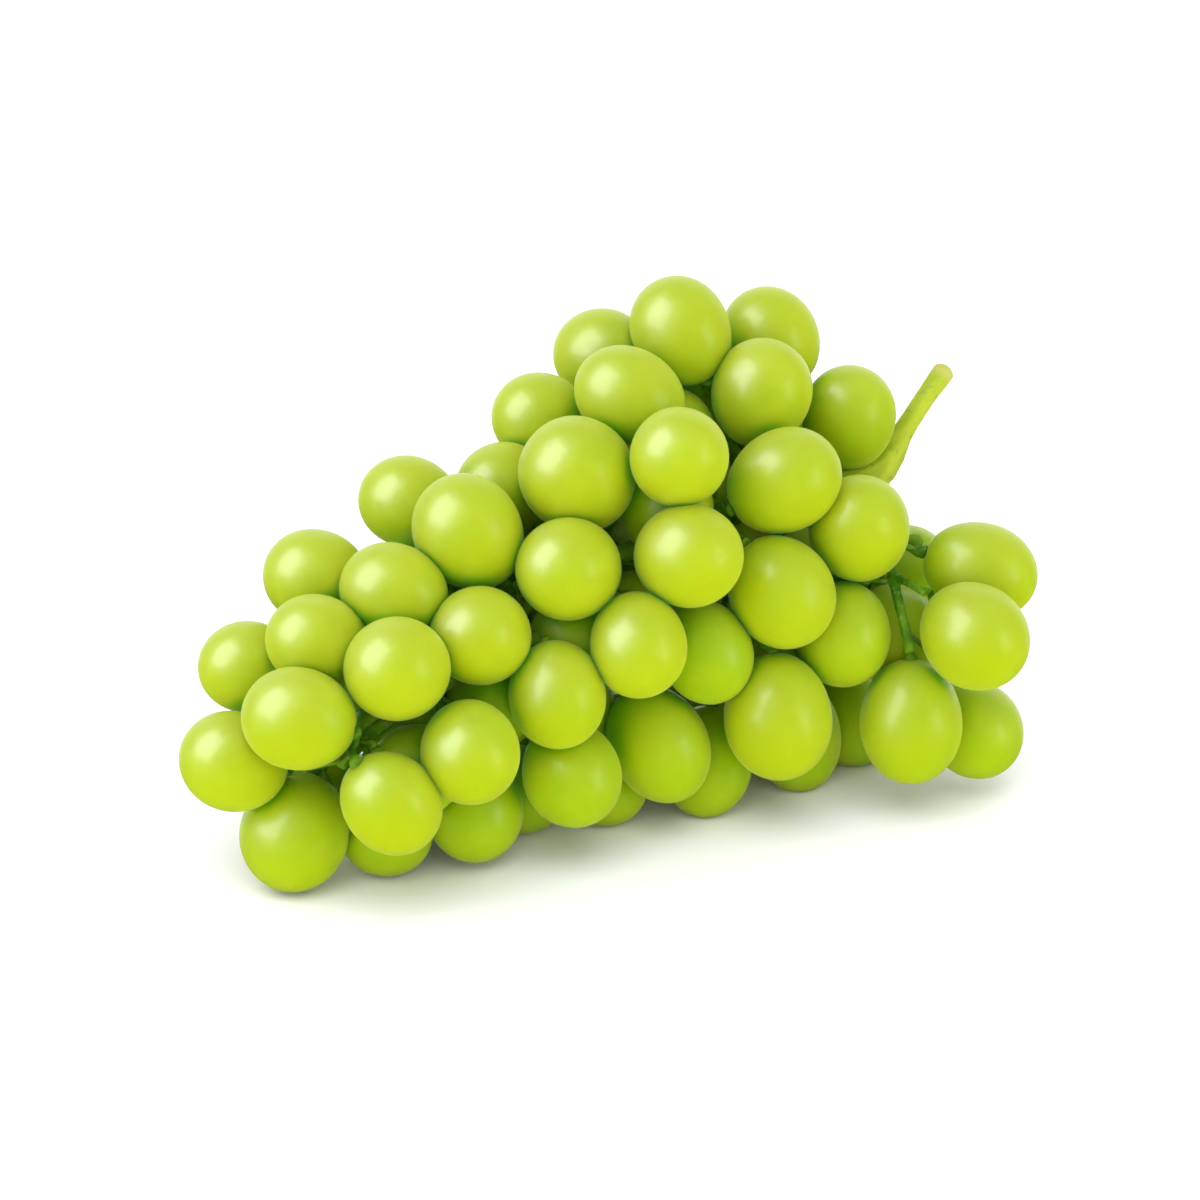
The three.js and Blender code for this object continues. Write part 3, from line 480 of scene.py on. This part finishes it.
# Darker green towards the stalk end, which faces the inside of the bunch: partly the stalk end's own tone,
# partly painted shade.
colour = blend(tree, ranged(tree, height, -1.0, -0.3, 0.15, 0), colour, SKIN_INNER_SHADE)
veins = noise(tree, place, 0.55, 3, (1, 1, 0.14))
colour = blend(tree, ranged(tree, veins, 0.55, 0.70, 0, 0.10), colour, SKIN_VEIN)
bloom = ranged(tree, noise(tree, place, 0.12, 4), 0.42, 0.72, 0.0, 0.22)
colour = blend(tree, bloom, colour, SKIN_BLOOM)
specks = noise(tree, place, 2.2, 1)
colour = blend(tree, ranged(tree, specks, 0.70, 0.76, 0, 0.12), colour, SPECK_OLIVE)
colour = blend(tree, ranged(tree, height, 0.9980, 0.9992, 0, 0.15), colour, SPECK_OLIVE)
# Painted shade: skin hemmed in by neighbouring berries, in the gaps and where they touch, is painted darker
# green.
colour = blend(tree, ranged(tree, shade, 0.55, 1.05, 0, 0.8), colour, SKIN_INNER_SHADE)
tree.links.new(colour, shader.inputs["Base Color"])
rubbed = noise(tree, place, 0.16, 5)
tree.links.new(ranged(tree, rubbed, 0.40, 0.75, 0.44, 0.52), shader.inputs["Roughness"])
bump = add(tree, "ShaderNodeBump")
bump.inputs["Strength"].default_value = 0.15
bump.inputs["Distance"].default_value = 0.0001
tree.links.new(noise(tree, place, 1.6, 3), bump.inputs["Height"])
tree.links.new(bump.outputs["Normal"], shader.inputs["Normal"])
shader.inputs["IOR"].default_value = 1.5
shader.inputs["Specular IOR Level"].default_value = 1.0
shader.inputs["Coat Weight"].default_value = 0.35
shader.inputs["Coat Roughness"].default_value = 0.18
shader.inputs["Subsurface Weight"].default_value = 1.0
shader.inputs["Subsurface Radius"].default_value = (0.6, 1.0, 0.15)
shader.inputs["Subsurface Scale"].default_value = 0.012
shader.inputs["Subsurface Anisotropy"].default_value = 0.6
shader.inputs["Sheen Weight"].default_value = 0.25
shader.inputs["Sheen Roughness"].default_value = 0.3
shader.inputs["Sheen Tint"].default_value = (0.85, 1.0, 0.45, 1)


# The stem is one grown skeleton: a woody cut stalk, the main stem inside the bunch, and a short stalk to
# each berry that widens to a warty cushion where it holds the berry.

STEM_GRAIN = 0.38
RING_POINTS = 12
CUT_WIDTH, BELOW_CUT = 4.8, 12
CUT_RIM = ((0.0, 1.7), (0.35, 2.0), (0.6, 2.05), (0.8, 1.75), (0.93, 1.2), (1.0, 0.6))
CUT_SUNK, CUT_PROUD = 2.0, 0.9
CUSHION = ((0.0, 0.66), (0.3, 0.75), (0.55, 1.05), (0.72, 1.45), (0.86, 1.5), (0.95, 1.2), (1.0, 0.8))
CUSHION_START, CUSHION_SUNK = 0.8, 0.5


def turned(start, end, profile):
    """A closed shape turned round the line between two points. Its profile gives the share of the line and
    the radius for each ring."""
    line = end - start
    along = line / np.linalg.norm(line)
    side = np.cross(along, [0.37, 0.61, 0.70])
    side /= np.linalg.norm(side)
    around = np.arange(RING_POINTS) * 2 * np.pi / RING_POINTS
    circle = np.cos(around)[:, None] * side + np.sin(around)[:, None] * np.cross(along, side)
    rings = [start + share * line + radius * circle for share, radius in profile]
    return np.concatenate(rings)


def turned_faces(first, rings):
    """Quads between the rings of a turned shape, and a flat end at each side."""
    ring, column = np.divmod(np.arange((rings - 1) * RING_POINTS), RING_POINTS)
    beside = (column + 1) % RING_POINTS
    start = first + ring * RING_POINTS
    above = start + RING_POINTS
    quads = np.stack([start + column, start + beside, above + beside, above + column], 1)
    foot = list(range(first + RING_POINTS - 1, first - 1, -1))
    last = first + (rings - 1) * RING_POINTS
    return quads.tolist() + [foot, list(range(last, last + RING_POINTS))]


cut_corner = stem_corners[(stem_corners @ [0.8, 0, 0.6]).argmax()]
cut_middle = stem_corners[np.linalg.norm(stem_corners - cut_corner, axis=1) < CUT_WIDTH].mean(0)
from_cut = np.linalg.norm(stem_corners - cut_middle, axis=1)
below_cut = stem_corners[(from_cut > 5) & (from_cut < BELOW_CUT)].mean(0)
cut_way = (cut_middle - below_cut) / np.linalg.norm(cut_middle - below_cut)
cut_end = cut_middle + CUT_PROUD * cut_way
stem_points = [stem_corners, turned(cut_middle - CUT_SUNK * cut_way, cut_end, CUT_RIM)]
stem_faces = np.arange(len(stem_corners)).reshape(-1, 3).tolist()
stem_faces += turned_faces(len(stem_corners), len(CUT_RIM))
for berry in range(len(berries)):
    pole = MIDDLES[berry] + STALK_AXES[berry] * HALF_LENGTHS[berry]
    nearest = stem_corners[np.linalg.norm(stem_corners - pole, axis=1).argsort()[:8]].mean(0)
    start = nearest + CUSHION_START * STALK_AXES[berry]
    end = pole - CUSHION_SUNK * STALK_AXES[berry]
    stem_faces += turned_faces(sum(len(p) for p in stem_points), len(CUSHION))
    stem_points.append(turned(start, end, CUSHION))
stem_mesh = bpy.data.meshes.new("stem_skeleton")
stem_mesh.from_pydata((np.concatenate(stem_points) / 1000).tolist(), [], stem_faces)
stem = bpy.data.objects.new("stem_skeleton", stem_mesh)
bpy.context.scene.collection.objects.link(stem)
grown = stem.modifiers.new("grown", "REMESH")
grown.mode = "VOXEL"
grown.voxel_size = STEM_GRAIN / 1000
eased = stem.modifiers.new("eased", "SMOOTH")
eased.factor, eased.iterations = 0.5, 3
stem.data = bpy.data.meshes.new_from_object(stem.evaluated_get(bpy.context.evaluated_depsgraph_get()))
stem.modifiers.clear()
stem.data.shade_smooth()

STALK_GREEN = (0.40, 0.51, 0.02, 1)
STALK_PALE = (0.56, 0.65, 0.04, 1)
BRANCH_GREEN = (0.06, 0.19, 0.003, 1)
BRANCH_PALE = (0.16, 0.33, 0.008, 1)
WART_TAN = (0.30, 0.36, 0.09, 1)
CUT_TAN = (0.62, 0.60, 0.15, 1)
CUT_PLACE = cut_end / 1000
stem_material = bpy.data.materials.new("stem_bark")
stem_material.use_nodes = True
tree = stem_material.node_tree
shader = tree.nodes["Principled BSDF"]
own_place = add(tree, "ShaderNodeTexCoord").outputs["Object"]


def away_from(point):
    """The distance of the surface from a point, in metres."""
    length = add(tree, "ShaderNodeVectorMath", operation="DISTANCE")
    tree.links.new(own_place, length.inputs[0])
    length.inputs[1].default_value = point
    return length.outputs["Value"]


def drawn_out(way, share):
    """The surface's place with most of its part along a way taken out, so that a pattern runs that way."""
    along = add(tree, "ShaderNodeVectorMath", operation="DOT_PRODUCT")
    tree.links.new(own_place, along.inputs[0])
    along.inputs[1].default_value = way
    back = add(tree, "ShaderNodeVectorMath", operation="SCALE")
    back.inputs[0].default_value = -share * way
    tree.links.new(along.outputs["Value"], back.inputs["Scale"])
    left = add(tree, "ShaderNodeVectorMath", operation="ADD")
    tree.links.new(own_place, left.inputs[0])
    tree.links.new(back.outputs["Vector"], left.inputs[1])
    return left.outputs["Vector"]


patches = noise(tree, own_place, 160, 3)
ridges = noise(tree, drawn_out(cut_way, 0.95), 700, 2)
stalk = blend(tree, ranged(tree, ridges, 0.25, 0.75), STALK_GREEN, STALK_PALE)
colour = blend(tree, ranged(tree, patches, 0.35, 0.65), BRANCH_GREEN, BRANCH_PALE)
colour = blend(tree, ranged(tree, away_from(CUT_PLACE), 0.024, 0.036, 1, 0), colour, stalk)
warts = noise(tree, own_place, 800, 1)
colour = blend(tree, ranged(tree, warts, 0.60, 0.70, 0, 0.5), colour, WART_TAN)
colour = blend(tree, ranged(tree, away_from(CUT_PLACE), 0.0025, 0.0040, 0.8, 0), colour, CUT_TAN)
tree.links.new(colour, shader.inputs["Base Color"])
shader.inputs["Roughness"].default_value = 0.55
shader.inputs["Specular IOR Level"].default_value = 0.2
shader.inputs["Subsurface Weight"].default_value = 0.15
shader.inputs["Subsurface Radius"].default_value = (1.0, 1.0, 0.3)
shader.inputs["Subsurface Scale"].default_value = 0.0015
bump = add(tree, "ShaderNodeBump")
bump.inputs["Strength"].default_value = 0.6
bump.inputs["Distance"].default_value = 0.0003
rough = add(tree, "ShaderNodeMath", operation="ADD")
tree.links.new(warts, rough.inputs[0])
tree.links.new(ridges, rough.inputs[1])
tree.links.new(rough.outputs["Value"], bump.inputs["Height"])
tree.links.new(bump.outputs["Normal"], shader.inputs["Normal"])
stem.data.materials.clear()
stem.data.materials.append(stem_material)
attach(stem, "root")
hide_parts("stem")
